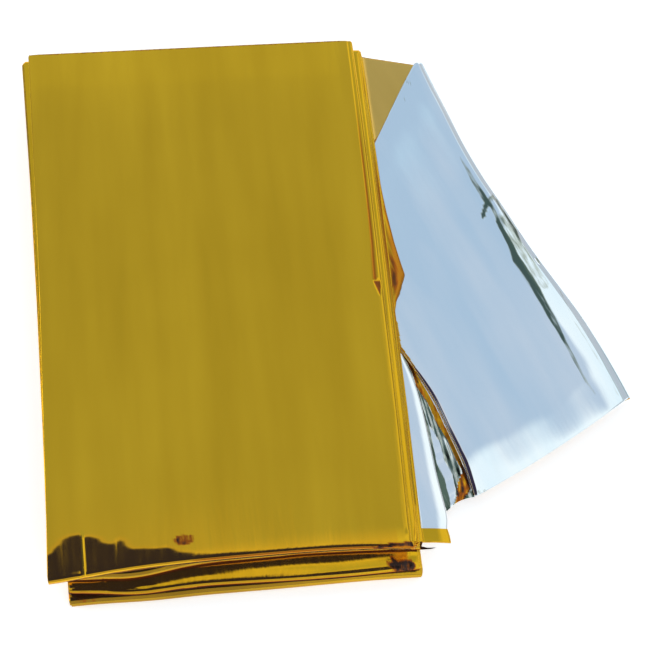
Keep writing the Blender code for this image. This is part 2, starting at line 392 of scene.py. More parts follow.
def packet_points(half, layer, along, turn):
    """The points of one row of the packet's film."""
    pleat, share, crest = COLUMNS.T
    level = THICKNESS / 2 - (film_order(half, pleat) + 0.5) * FILM_PITCH
    following = THICKNESS / 2 - (film_order(half, pleat + 1) + 0.5) * FILM_PITCH
    radius = np.abs(level - following) / 2 * crest
    level = np.where(crest == 1, (level + following) / 2, level)
    across = np.where(pleat % 2 == 0, share, 1 - share)

    def line(fold):
        out, middle, wide = FOLD_BULGES.get(fold, (0, 0, 1))
        here = through_three(across, *FOLD_LINES[fold]) + 0.12 * np.sin(across * 9 + fold * 2.1)
        return here - out * hump(across - middle, wide)

    def x_in(which, y):
        start, end = edge_of(pleat, which, y, level), edge_of(pleat + 1, which, y, level)
        return mix(start, end, share) + np.where(pleat % 2 == 0, radius, -radius)

    def pinched(amount, which, y):
        """A film's height in its layer, which is thinner at its two edges."""
        x = x_in(which, y)
        for side, (much, wide) in enumerate(PINCH):
            inside = np.abs(x - side_edge(which, side, y))
            amount = amount * (1 - much * np.clip(1 - inside / wide, 0, 1) ** 2)
        return amount

    upward = level if layer % 2 else -level
    outermost = (pleat == 0) & (crest == 0)
    clearance = outermost * TOP_CLEARANCE * window(share, 0, 0.03, 0.995, 1)
    if turn == 0.0:
        ends = []
        for fold in (layer - 1, layer):
            if 0 <= fold < TOP:
                here = line(fold)
                ends.append(here - np.sign(here) * REACH)
        if layer in (0, TOP):
            ends.append(np.full(across.shape, TOP_END if layer else LOWEST_END))
        y = mix(np.maximum(*ends), np.minimum(*ends), along)
        x = x_in(layer, y)
        z = layer_height(layer) + pinched(upward, layer, y)
        z = z - beside_fall(layer, x, y, upward, film_order(half, pleat) > 0)
    else:
        here = line(layer - 1)
        middle = (layer_height(layer) + layer_height(layer - 1)) / 2
        radius_here = (layer_height(layer) - layer_height(layer - 1)) / 2 + upward
        if layer == TOP and half == 0:
            radius_here = radius_here + clearance * math.cos(turn / 2) ** 2
        power = FOLD_SHAPES[layer - 1][0 if turn < math.pi / 2 else 1]
        unit = (math.sin(turn) ** power + abs(math.cos(turn)) ** power) ** (-1 / power)
        y = here - np.sign(here) * (REACH - radius_here * unit * math.sin(turn))
        x = mix(x_in(layer, y), x_in(layer - 1, y), turn / math.pi)
        z = middle + radius_here * unit * math.cos(turn)
        for which, sign in ((layer, 1), (layer - 1, -1)):
            change = pinched(upward, which, y) - upward
            z = z + sign * change * max(0.0, sign * math.cos(turn))
    z = lifted(x, y, z)
    if layer == SPIKE_LAYER and turn > 0:
        spike = hump(turn - SPIKE_TURN, 0.22) * np.clip((across - 0.985) / 0.015, 0, 1) * (pleat < 2)
        x = x + SPIKE_OUT * spike
        z = mix(z, 9.0 + 0.35 * (y + 63.0), spike)
    if half == 0:
        bump = np.where(outermost, crumple(x, y, z) + ribs(x, y, z), 0)
        y = y - 0.6 * bump
        z = z + 0.8 * bump
        if layer == TOP and turn == 0.0:
            z = z + clearance
    return np.stack((x, y, z), axis=1)


# Where the outermost film is crumpled: the middle and half size of each place, and how much
CRUMPLES = (
    # x, y, z, half x, half y, half z, height
    (-31.0, -65.0, 5.5, 9.0, 3.5, 2.5, 0.42),
    (-26.0, -66.0, 8.3, 13.0, 3.6, 1.8, 0.13),
    (38.0, -66.9, 5.6, 4.0, 2.0, 2.4, 0.24),
    (39.8, -61.8, 15.0, 2.6, 2.2, 3.0, 0.26),
    (-33.0, -65.0, 13.5, 8.0, 2.0, 3.0, 0.16),
)


def far_from(points, middle, half_size):
    """How far each point is from a place's middle, squared: 1 on the place's edge."""
    return sum(((at - mid) / half) ** 2 for at, mid, half in zip(points, middle, half_size))


def crumple(x, y, z):
    """How far the outermost film stands out in its crumpled places."""
    out = np.zeros(x.shape)
    path = y - z
    for *place, height in CRUMPLES:
        middle, half_size = place[:3], place[3:]
        far = far_from((x, y, z), middle, half_size)
        wave = np.sin(x * 1.9 + path * 1.1 + middle[0]) + np.sin(x * 2.9 - path * 1.6 + 1.0)
        wave += 0.7 * np.sin(x * 0.9 + path * 2.6 + middle[2])
        out += height * np.clip(1 - far, 0, 1) * (0.5 + wave / 5.4)
    return out


def ribs(x, y, z):
    """Fine ribs along the front folds, where the film is pressed."""
    path = y - z
    strength = 0.03 * smooth(-60.5, -62.5, y) * window(z, 1.2, 2.4, 12.8, 14.2)
    strength = strength * (0.55 + 0.45 * np.sin(x / 8.0 + z * 0.7))
    return strength * np.sin(2 * np.pi * path / 1.15 + 0.9 * np.sin(x / 6.5))


# Painted dark places of the outermost pleat, for shade and dark reflections: the middle and half size of
# each, and how dark it is painted
MARKS = (
    # x, y, z, half x, half y, half z, painted darkness
    (37.5, -67.3, 6.3, 3.1, 1.5, 3.0, 0.86),
    (34.9, -66.5, 6.8, 0.75, 1.6, 2.2, 0.92),
    (-34.0, -66.5, 5.0, 4.5, 3.0, 2.5, 0.30),
    (-42.9, 40.0, 12.8, 0.45, 30.0, 1.6, 0.60),
    (-1.0, 66.5, 15.6, 46.0, 0.50, 1.2, 0.36),
    (-11.8, -58.6, 15.6, 2.6, 1.3, 1.0, 0.52),
    (36.0, -63.9, 15.0, 7.5, 0.55, 1.6, 0.80),
)


def packet_painted_dark(row, points):
    """How dark each point of a row of the packet is painted: in its dark places, and by its painted shade.

    Either of them turns the film brown at 0.5 and nearly black at 0.85. The painted dark places stand in for
    shade and dark reflections, and are broken up by cracks; the shade is not. A shade below 0 darkens the
    film's own colour.
    """
    half, layer, _, turn = row
    pleat = COLUMNS[:, 0]
    x, y, z = points.T
    painted_dark = np.zeros(x.shape)
    if half == 0:
        for *place, darkness in MARKS:
            far = far_from((x, y, z), place[:3], place[3:])
            painted_dark = np.maximum(painted_dark, darkness * smooth(1.0, 0.75, far) * (pleat == 0))
    if turn > 0:
        return painted_dark, fold_shade(layer, turn, x, pleat)
    return painted_dark, level_shade(half, layer, x, y, pleat)


def fold_shade(layer, turn, x, pleat):
    """The shade on the fold below a layer."""
    if layer == TOP:
        return 0.52 * hump(turn - 0.80, 0.18) * smooth(-12, -8, x)
    if layer == 3:
        return 0.85 * smooth(0.75, 1.0, turn) * smooth(41.8, 41.0, x)
    if layer not in (1, SPIKE_LAYER):
        return np.zeros(x.shape)
    shade = np.interp(x, (0, 25), (-0.45, -0.25))
    if layer == SPIKE_LAYER:
        dark = np.maximum(smooth(42.0, 42.6, x) * (pleat < 2), 0.80 * smooth(1.0, 1.5, turn))
        shade = np.where(dark > 0.05, dark, shade)
    return shade


def level_shade(half, layer, x, y, pleat):
    """The shade on a layer's level film: in the groove and the notch, and beside the edges on the right."""
    rim = side_edge(layer, 1, y) - x
    if layer == TOP and half == 0:
        beyond = x - read(GROOVE, y) - 0.1
        wide = np.interp(y, (0, 26), (0.62, 0.32))
        line = 0.50 * hump(beyond, wide) * window(y, -0.1, 0.2, 30, 58)
        return np.maximum(line, 0.64 * in_notch(x, y)) * (pleat == 0)
    if layer == LIP_LAYER + 2:
        return 0.30 * smooth(0.7, 0.2, rim) * window(y, -16, -6, 34, 50)
    if layer not in (LIP_LAYER, LIP_LAYER + 1):
        return np.zeros(x.shape)
    beyond = x - side_edge(layer + 1, 1, y)
    if layer == LIP_LAYER:
        dark = window(beyond, 0.2, 0.5, 1.1, 1.7) * window(y, -1.5, 1.0, 5, 11)
        return mix(0.40, 0.74, dark) * smooth(0.15, 0.45, beyond) * smooth(-7, -4, y)
    line = 0.46 * smooth(0.0, 0.25, beyond) * smooth(0.15, 0.45, rim) * window(y, -7, -3, 30, 46)
    return np.maximum(line, 0.34 * smooth(0.7, 0.3, rim) * window(y, -26, -16, -6, -3))


def new_object(name, content):
    thing = bpy.data.objects.new(name, content)
    bpy.context.collection.objects.link(thing)
    return thing


def sheet_mesh(name, points, painted_dark, shade, faces, slots, materials):
    """An open mesh, smooth, with each point's painted darkness and painted shade and each face's slot."""
    mesh = bpy.data.meshes.new(name)
    mesh.from_pydata((np.asarray(points) * MM).tolist(), [], faces)
    for material in materials:
        mesh.materials.append(material)
    for attribute, values in (("painted_dark", painted_dark), ("shade", shade)):
        painted = mesh.attributes.new(attribute, "FLOAT", "POINT").data
        painted.foreach_set("value", np.asarray(values, np.float32))
    mesh.polygons.foreach_set("material_index", slots)
    mesh.shade_smooth()
    mesh.update()
    return new_object(name, mesh)


def make_packet(gold):
    rows = packet_rows()
    row_points = [packet_points(*row) for row in rows]
    painted_dark, shade = np.concatenate([packet_painted_dark(*pair) for pair in zip(rows, row_points)], axis=1)
    wide = len(COLUMNS)
    faces = []
    for row in range(len(rows) - 1):
        for first in range(row * wide, (row + 1) * wide - 1):
            faces.append((first, first + 1, first + wide + 1, first + wide))
    slots = [0] * len(faces)
    piece = sheet_mesh("foil_packet", np.concatenate(row_points), painted_dark, shade, faces, slots, [gold])
    lay_out(piece.data, rows, wide)
    return piece


def lay_out(mesh, rows, wide):
    """A map of the film laid flat, in which the outermost pleat and the top layer take the most room."""
    outermost = COLUMNS[:, 0] == 0
    inner = np.array([row[0] == 1 for row in rows])
    top = np.array([row[0] == 0 and row[1] == TOP for row in rows])

    def laid(*groups):
        """Each place on the map: a group of columns or rows shares out its part of the width."""
        room = sum(members * part / members.sum() for members, part in groups)
        return (np.cumsum(room) - room[0]) * 0.98 / (1 - room[0]) + 0.01

    u = laid((outermost, 0.72), (~outermost, 0.28))
    v = laid((top, 0.42), (inner, 0.14), (~top & ~inner, 0.44))
    corners = np.empty(len(mesh.loops), np.int32)
    mesh.loops.foreach_get("vertex_index", corners)
    places = np.stack((u[corners % wide], v[corners // wide]), axis=1)
    mesh.uv_layers.new(name="OFBake").data.foreach_set("uv", places.ravel().astype(np.float32))


# ---- the loose pleat
FOLD_RADIUS = 0.75
SHEET = 0.04
GROUND = 0.25  # the height of its lower layer
INNER_END = 39.5  # the x at which its two layers end, inside the packet
FLAP_ROWS = (
    # the upper layer's left x and y and its rise there, the right fold's x and y, the lower layer's left y
    (39.5, 35.0, 0.0, 60.8, 66.8, 70.4),
    (39.5, 29.0, 0.0, 62.9, 60.0, 62.0),
    (39.5, 22.0, 0.0, 65.2, 52.5, 52.0),
    (39.5, 14.0, 0.0, 68.4, 41.6, 42.0),
    (39.5, 6.0, 0.0, 72.0, 31.8, 32.0),
    (39.5, -2.0, 0.0, 76.2, 22.5, 22.0),
    (40.5, -9.0, 0.0, 81.1, 11.6, 10.0),
    (43.6, -13.6, 0.05, 84.9, 4.2, 2.0),
    (46.8, -19.0, 0.2, 88.0, -1.6, -8.0),
    (50.6, -27.0, 0.25, 91.1, -7.6, -20.0),
    (53.3, -35.5, 0.2, 94.0, -14.4, -33.0),
    (55.8, -43.5, 0.1, 97.0, -22.2, -46.0),
    (57.4, -51.6, 0.0, 99.8, -30.1, -57.0),
)
LAST_ROW = len(FLAP_ROWS) - 1
# How the upper layer comes down beside the packet, from 1 to 0, and the height that it comes from
COME_DOWN = ((42.0, 1.0), (42.4, 0.68), (42.8, 0.27), (43.2, 0.08), (43.8, 0.02), (44.6, 0.0))
OUT_HEIGHT = 8.1
VALLEY_START = 7.0  # the row where the valley and the strip start
STRIP_RADIUS = 0.5
STRIP_ROWS = (
    # the right edge's x, y and z
    (43.9, -15.6, 5.4),
    (46.2, -23.0, 5.2),
    (47.3, -30.0, 5.1),
    (48.0, -38.0, 5.0),
    (48.6, -46.0, 4.9),
    (49.7, -54.9, 4.8),
)
# The strip's front end, and the gold band in front of it: the same, and 1 for gold
STRIP_FRONT = (
    (49.7, -57.0, 4.8, 0), (49.3, -59.0, 4.8, 0), (49.3, -59.05, 4.8, 1), (49.6, -60.6, 4.8, 1),
    (49.7, -62.1, 4.8, 1), (49.7, -62.2, 4.8, 1), (49.6, -62.3, 4.3, 1),
)

# The ridge inside the right fold: left of it the sheet lies level, and right of it the sheet falls away
RIDGE = (
    (57.6, 72.0), (60.0, 64.0), (63.4, 52.5), (66.0, 41.6), (68.7, 30.4), (71.3, 24.6), (73.5, 17.4),
    (75.5, 11.7), (77.0, 7.5), (78.4, 3.2), (80.1, -1.0), (81.5, -5.1), (82.9, -9.2), (84.3, -13.3),
    (86.9, -21.4), (90.4, -29.4), (94.0, -39.0),
)
# At each y: the slope beyond the ridge, and over what width the sheet bends
RIDGE_FALL = ((-40.0, 0.20), (18.0, 0.21), (28.0, 0.08), (70.0, 0.06))
RIDGE_BEND = ((-32.0, 7.0), (-25.0, 6.0), (-10.0, 1.5), (5.0, 0.3))
RIM_SLOPE = 0.60  # of the strip along the right fold
# Creases, each a path: the sheet dips there, and a painted dark reflection, broken up by cracks, darkens it
CREASES = (
    # rows of x, y, half width, painted darkness and depth
    (
        (73.2, 18.4, 0.75, 1.0, 0.03), (75.4, 11.7, 0.9, 1.0, 0.03), (76.4, 7.5, 1.35, 1.0, 0.04),
        (78.4, 3.2, 1.4, 0.95, 0.04), (80.1, -1.0, 1.35, 0.9, 0.04), (81.5, -5.1, 1.2, 0.85, 0.04),
        (82.9, -9.2, 1.05, 0.75, 0.03), (84.3, -13.3, 0.65, 0.75, 0.02), (85.6, -17.4, 0.55, 0.6, 0),
        (86.9, -21.4, 0.45, 0.45, 0), (88.3, -25.4, 0.4, 0.3, 0), (90.4, -29.4, 0.3, 0.15, 0),
    ),
    (
        (66.4, 37.5, 0.3, 0.25, 0), (68.7, 30.4, 0.7, 0.5, 0.05), (70.8, 25.2, 0.95, 0.75, 0.1),
        (71.5, 23.4, 0.7, 0.9, 0.1),
    ),
    (
        (69.6, 19.9, 0.65, 0.85, 0.1), (70.6, 22.5, 0.8, 0.9, 0.1), (71.6, 24.8, 0.9, 0.9, 0.1),
        (73.2, 25.6, 0.7, 0.7, 0.1),
    ),
    ((71.9, 24.2, 0.7, 0.8, 0.1), (72.9, 20.6, 0.6, 0.6, 0.1), (73.5, 17.8, 0.7, 0.9, 0.1)),
    (
        (73.9, 24.7, 0.5, 0.7, 0.05), (75.6, 20.3, 0.45, 0.75, 0.05), (77.6, 16.0, 0.6, 0.9, 0.1),
        (78.2, 11.8, 0.5, 0.65, 0.05), (80.3, 7.4, 0.45, 0.5, 0),
    ),
    ((81.9, 7.9, 0.55, 0.5, 0.1), (82.4, 6.8, 0.5, 0.45, 0.1)),
    ((68.8, 39.5, 0.25, 0.3, 0), (72.2, 30.5, 0.55, 0.32, 0), (74.6, 26.0, 0.3, 0.3, 0)),
    (
        (86.4, -1.0, 0.25, 0.2, 0), (88.3, -9.2, 0.25, 0.18, 0), (91.7, -17.4, 0.35, 0.16, 0),
        (96.2, -29.5, 0.35, 0.14, 0),
    ),
    (
        (74.6, 19.0, 1.6, 0.4, 0), (76.6, 14.0, 1.6, 0.4, 0), (79.2, 8.0, 1.6, 0.36, 0),
        (82.4, 0.5, 1.7, 0.28, 0),
    ),
    ((57.3, -50.6, 0.5, 0.5, 0.1), (58.6, -50.8, 0.6, 0.35, 0.1), (60.5, -50.6, 0.4, 0.2, 0)),
    ((55.4, 61.0, 0.25, 0.5, 0.05), (56.6, 60.2, 0.2, 0.3, 0)),
    ((53.2, 56.4, 0.25, 0.5, 0.05), (54.4, 55.4, 0.2, 0.3, 0)),
    ((58.3, 68.6, 0.6, 0.5, 0), (60.6, 66.8, 0.5, 0.45, 0)),
)


def path_distance(x, y, path):
    """The distance to a path with its sign, positive on its right, and without, and 0..1 along it."""
    best = np.full(x.shape, 1e9)
    signed = np.zeros(x.shape)
    place = np.zeros(x.shape)
    for index, ((ax, ay), (bx, by)) in enumerate(zip(path, path[1:])):
        length = math.hypot(bx - ax, by - ay)
        part = np.clip(((x - ax) * (bx - ax) + (y - ay) * (by - ay)) / length**2, 0, 1)
        off_x, off_y = x - ax - part * (bx - ax), y - ay - part * (by - ay)
        far = np.hypot(off_x, off_y)
        side = np.sign((y - ay) * (bx - ax) - (x - ax) * (by - ay))
        closer = far < best
        best = np.where(closer, far, best)
        signed = np.where(closer, far * side, signed)
        place = np.where(closer, (index + part) / (len(path) - 1), place)
    return signed, best, place


def ridge_relief(x, y):
    """How far the sheet falls beyond the ridge."""
    beyond = np.maximum(path_distance(x, y, RIDGE)[0], 0)
    fall, bend = read(RIDGE_FALL, y), read(RIDGE_BEND, y)
    return -fall * np.where(beyond < bend, beyond**2 / (2 * bend), beyond - bend / 2)


def creased(x, y):
    """How deep the sheet is creased, and how dark its painted reflection is there."""
    relief, painted_dark = np.zeros(x.shape), np.zeros(x.shape)
    for rows in CREASES:
        _, far, place = path_distance(x, y, [row[:2] for row in rows])
        along = place * (len(rows) - 1)
        wide, darkness, deep = (np.interp(along, np.arange(len(rows)), values) for values in list(zip(*rows))[2:])
        painted_dark = np.maximum(painted_dark, darkness * smooth(wide, 0.55 * wide, far))
        relief -= deep * hump(far, wide)
    return relief, painted_dark


def rim_relief(y, outer, place):
    """The steeper strip along the upper layer's right fold."""
    wide = mix(0.9, 1.5, smooth(2.0, 11.0, place))
    steeper = RIM_SLOPE - read(RIDGE_FALL, y)
    return -steeper * np.maximum(wide - outer, 0)


# Where the columns of each part lie
UPPER_SHARES = spread((0, 0.05, 12), (0.055, 0.12, 14), (0.13, 0.22, 9), (0.24, 0.66, 15), (0.68, 1, 64))
LOWER_PLACES = (INNER_END, 42.0, 42.4, 42.8, 43.2, 43.7, 44.4, 46.0)
FOLD_TURNS = np.linspace(0, np.pi, 11)[1:-1]
VALLEY_SHARES = np.linspace(0, 1, 51)
STRIP_SHARES = np.linspace(0, 1, 22)
STRIP_TURNS = np.linspace(0, np.pi * 0.8, 6)[1:]
STRIP_COUNT = len(STRIP_SHARES) + len(STRIP_TURNS)


def valley_place(place):
    """How far along the valley a place in the table is: 0 where it opens and 1 at its front."""
    return (place - VALLEY_START) / (LAST_ROW - VALLEY_START)


def flap_row(place):
    """One row of the loose pleat, at this place in its table.

    First the points of the strip and the valley, if they reach so far, and how dark they are painted, and
    then the same for the pleat's two layers.
    """
    left_x, left_y, rise, fold_x, fold_y, lower_y = along_table(FLAP_ROWS, place)
    fold_middle = fold_x - FOLD_RADIUS
    share = UPPER_SHARES
    x = mix(left_x, fold_middle, share)
    y = mix(left_y, fold_y, share)
    # its back and its front edge bulge
    y += 2.4 * hump(place, 0.8) * window(share, 0.0, 0.93, 0.9, 1.02)
    y -= 1.1 * smooth(LAST_ROW - 1.5, LAST_ROW, place) * np.sin(np.pi * share) ** 0.7
    rest = mix(2.7, 4.4, smooth(0.5, 6.0, place))
    z = mix(rest, OUT_HEIGHT, read(COME_DOWN, x)) + rise * smooth(9, 1, x - left_x)
    # the steel line beside the valley
    t = valley_place(place)
    steel = 0.45 * window(t, 0.0, 0.45, 0.8, 1.25)
    z = z - 0.46 * np.maximum(steel - (x - left_x), 0)
    # the roll of its front edge
    near = np.maximum(place - LAST_ROW + mix(1.2, 1.6, share) + 0.12 * np.sin(share * 7.0 + 0.8), 0)
    z = z - mix(0.95, 0.72, share) * np.where(near < 0.5, near**2, near - 0.25)
    relief, painted_dark = creased(x, y)
    z = z + relief + ridge_relief(x, y) + rim_relief(y, fold_middle - x, place)
    z = z + 0.06 * np.sin(x * 0.42 + y * 0.16) * smooth(44, 52, x)
    z = np.maximum(z, GROUND + 0.5)
    upper = np.stack((x, y, z), axis=1)

    half = (z[-1] - GROUND) / 2
    turn_x = fold_middle + FOLD_RADIUS * np.sin(FOLD_TURNS)
    turn_z = GROUND + half * (1 + np.cos(FOLD_TURNS))
    turn = np.stack((turn_x, np.full(turn_x.shape, y[-1]), turn_z), axis=1)
    x = np.concatenate((np.linspace(fold_middle, 46.0, 10)[1:], LOWER_PLACES[-2::-1]))
    y = mix(y[-1], lower_y, (fold_middle - x) / (fold_middle - INNER_END))
    y = y - np.clip((43.8 - x) / 4.3, 0, 1) * max(0.0, lower_y - 64.8)
    beside = mix(1.0, 2.0, smooth(5.5, 3.0, place))
    z = np.interp(x, (42.2, 42.8, 43.6, 44.5, 62.0), (7.9, 6.0, beside + 0.6, beside, GROUND))
    z = np.minimum(z, np.interp(x, upper[:, 0], upper[:, 2]) - 0.2)
    lower = np.stack((x, y, z), axis=1)

    outer = np.concatenate((upper, turn, lower))
    outer_dark = np.concatenate((painted_dark, np.zeros(len(turn) + len(lower))))
    if t < 0:
        return [], [], outer, outer_dark
    strip = strip_points(*along_table(STRIP_ROWS, t * (len(STRIP_ROWS) - 1)))
    valley, valley_dark = valley_points(strip[-1], upper[0], t)
    inner_dark = np.concatenate((np.zeros(len(strip)), valley_dark))
    return np.concatenate((strip, valley)), inner_dark, outer, outer_dark


def strip_points(edge_x, edge_y, edge_z):
    """The strip's upper layer and the fold down its right edge."""
    middle = edge_x - STRIP_RADIUS
    x = mix(39.8, middle, STRIP_SHARES)
    y = edge_y + 0.8 * (1 - STRIP_SHARES)
    z = np.interp(x, (41.9, 42.3, 42.7, 43.0), (8.0, 6.8, edge_z + 0.7, edge_z + 0.45))
    wide = min(5.6, 0.72 * (middle - 42.6))  # the part that rolls down to the fold
    inside = np.clip(1 - (middle - x) / wide, 0, 1)
    z = z - 0.15 * wide * inside**2
    turn_x = middle + STRIP_RADIUS * np.sin(STRIP_TURNS)
    turn_z = z[-1] - STRIP_RADIUS * (1 - np.cos(STRIP_TURNS))
    flat = np.stack((x, y, z), axis=1)
    arc = np.stack((turn_x, np.full(turn_x.shape, edge_y), turn_z), axis=1)
    return np.concatenate((flat, arc))


# The valley between the strip and the upper layer's left fold, from where it opens to its front end
VALLEY = np.array((
    # place, then the shares across where the dark slope ends, and where the crumpled part, the gold stripe
    # and the white start
    (0.00, 0.45, 0.45, 0.60, 1.00),
    (0.12, 0.45, 0.45, 0.60, 1.00),
    (0.23, 0.14, 0.14, 0.18, 0.90),
    (0.37, 0.12, 0.14, 0.55, 0.87),
    (0.50, 0.20, 0.22, 0.61, 0.92),
    (0.62, 0.16, 0.46, 0.79, 0.94),
    (0.74, 0.13, 0.41, 0.80, 0.94),
    (0.83, 0.25, 0.53, 0.86, 0.94),
    (0.87, 0.24, 0.50, 0.62, 0.95),
    (0.92, 0.24, 0.48, 0.50, 0.95),
    (1.00, 0.18, 0.28, 0.30, 0.62),
))
VALLEY_RADIUS = 0.4  # of the upper layer's left fold


def valley_parts(t):
    """The four shares of the valley's table at this place."""
    return [float(np.interp(t, VALLEY[:, 0], shares)) for shares in VALLEY.T[1:]]


def valley_points(strip_end, left, t):
    """The film between the strip's right edge and the upper layer's left fold, and its painted dark
    reflections.
    """
    share = VALLEY_SHARES
    turns = np.linspace(np.pi * 0.85, 0, 7)[:-1]
    arc_x = left[0] - VALLEY_RADIUS * np.sin(turns)
    arc_z = left[2] - VALLEY_RADIUS * (1 - np.cos(turns))
    x = mix(strip_end[0] + 0.03, arc_x[0], share)
    y = mix(strip_end[1], left[1], share) + 0.9 * np.sin(np.pi * share) * smooth(0.8, 1, t)
    dark, crumpled, golden, white = valley_parts(t)
    in_parts = (share < dark, (share >= crumpled) & (share < golden), (share >= golden) & (share < white))
    wave = np.sin(share * 30 + t * 13) + 0.5 * np.sin(share * 17 - t * 29)
    slope = np.select(in_parts, (-0.067 / dark, 0.3 * wave, 0.36 + 0.1 * wave * smooth(0.8, 0.9, t)))
    fall = np.concatenate(([0], np.cumsum((slope[1:] + slope[:-1]) / 2 * np.diff(x))))
    spare = arc_z[0] - strip_end[2] - fall[-1]
    z = strip_end[2] + fall + spare * smooth(crumpled, white, share)
    z = np.maximum(z, GROUND + 0.35)
    # painted dark reflections: the steel line, the crumpled part and the brown on the gold stripe
    steel = mix(0.72, 0.90, smooth(0.55, 0.7, t))
    steel = mix(0.95, steel, smooth(0.13, 0.2, t))
    brown = 0.30 + (0.22 + 0.12 * wave) * smooth(0.82, 0.9, t)
    painted_dark = np.select(in_parts, (steel, 0.68 + 0.3 * wave, brown))
    painted_dark = np.where((share >= white) & (t > 0.94), 0.9 - 0.5 * np.cos(share * 22), painted_dark)
    floor = np.stack((x, y, z), axis=1)
    arc = np.stack((arc_x, np.full(arc_x.shape, left[1]), arc_z), axis=1)
    return np.concatenate((floor, arc[1:])), np.concatenate((np.clip(painted_dark, 0, 1), np.zeros(len(arc) - 1)))


# A face's slot: its other side shows the one after it
SILVER_SLOT, GOLD_SLOT, PALE_SLOT = 0, 1, 2
LOWER_START = len(UPPER_SHARES) + len(FOLD_TURNS) // 2  # the column where the right fold turns under


def stripe_end(place, left):
    """Up to which x the upper layer shows its gold side where it comes out beside the packet."""
    if place < 7.1:
        return mix(42.0, max(43.95, left + 0.45), smooth(4.4, 6.2, place))
    return left + 0.5 * (8.0 - place)


def inner_slot(column, golden, white):
    """The slot of a face of the strip or the valley: the strip's fold and the valley's stripe are gold."""
    share = (column - STRIP_COUNT + 0.5) / (len(VALLEY_SHARES) - 1)
    in_fold = STRIP_COUNT - 3 <= column < STRIP_COUNT
    return GOLD_SLOT if golden < share < white or in_fold else SILVER_SLOT


def make_flap(silver, gold, pale_gold):
    places = np.unique(np.round(spread((0, 3, 26), (3, 7, 56), (7, LAST_ROW, 66)), 4))
    # the points, how dark each is painted, the faces and their slots
    points, painted_dark, faces, slots = [], [], [], []

    def add_faces(first, second, which_slots):
        """One row of faces between two rows of points, which start at these two numbers."""
        for column, slot in enumerate(which_slots):
            one, other = first + column, second + column
            faces.append((other, other + 1, one + 1, one))
            slots.append(slot)

    starts = []  # of each row and of its upper layer
    for place in places:
        inner, inner_dark, outer, outer_dark = flap_row(place)
        starts.append((len(points), len(points) + len(inner)))
        points += [*inner, *outer]
        painted_dark += [*inner_dark, *outer_dark]
    shade = np.zeros(len(points) + len(STRIP_FRONT) * STRIP_COUNT)
    for place, (start, upper), (next_start, next_upper) in zip(places, starts, starts[1:]):
        golden, white = valley_parts(valley_place(place))[2:]
        inner_slots = [inner_slot(column, golden, white) for column in range(upper - start)]
        add_faces(start, next_start, inner_slots)  # the last of them join the upper layer's first column
        beside = np.array(points[upper : next_start - 1])[:, 0] < stripe_end(place, points[upper][0])
        outer_slots = np.where(beside, GOLD_SLOT, SILVER_SLOT)
        outer_slots[LOWER_START:] = PALE_SLOT
        add_faces(upper, next_upper, outer_slots.tolist())
        # painted shade: brown on the gold side where it comes out beside the packet
        shade[upper : next_start - 1] = beside * 0.40 * smooth(4.8, 6.4, place)
    previous = starts[-1][0]
    for *edge, slot in STRIP_FRONT:
        add_faces(previous, len(points), [slot] * (STRIP_COUNT - 1))
        previous = len(points)
        points += [*strip_points(*edge)]
        painted_dark += [0.0] * STRIP_COUNT
    piece = sheet_mesh("foil_flap", points, painted_dark, shade, faces, slots, [silver, gold, silver, pale_gold])
    solid = piece.modifiers.new("film", "SOLIDIFY")
    solid.thickness = SHEET * MM
    solid.offset = 0.0
    solid.material_offset = 1
    solid.material_offset_rim = 0
    return piece


# ---- materials
def add_node(tree, kind, values=None, **settings):
    """A new node: its inputs take the values or sockets, by their name or number."""
    node = tree.nodes.new("ShaderNode" + kind)
    for key, value in settings.items():
        setattr(node, key, value)
    for key, value in (values or {}).items():
        if isinstance(value, bpy.types.NodeSocket):
            tree.links.new(value, node.inputs[key])
        else:
            node.inputs[key].default_value = value
    return node


def new_material(name):
    material = bpy.data.materials.new(name)
    material.use_nodes = True
    return material, material.node_tree, material.node_tree.nodes["Principled BSDF"]


def math_of(tree, operation, *values, **settings):
    return add_node(tree, "Math", dict(enumerate(values)), operation=operation, **settings).outputs[0]


def ranged(tree, value, low, high, start=0.0, end=1.0, **settings):
    """Goes from start at low to end at high."""
    return add_node(tree, "MapRange", {0: value, 1: low, 2: high, 3: start, 4: end}, **settings).outputs[0]


def mixed(tree, share, first, second):
    return add_node(tree, "Mix", {0: share, 6: first, 7: second}, data_type="RGBA").outputs[2]


def noise(tree, place, scale, detail):
    return add_node(tree, "TexNoise", {"Vector": place, "Scale": scale, "Detail": detail}).outputs[0]


def squeezed(tree, place, share):
    """The places with their lengthways part made smaller, which draws a noise out."""
    return add_node(tree, "Mapping", {"Vector": place, "Scale": (1.0, share, 1.0)}).outputs[0]


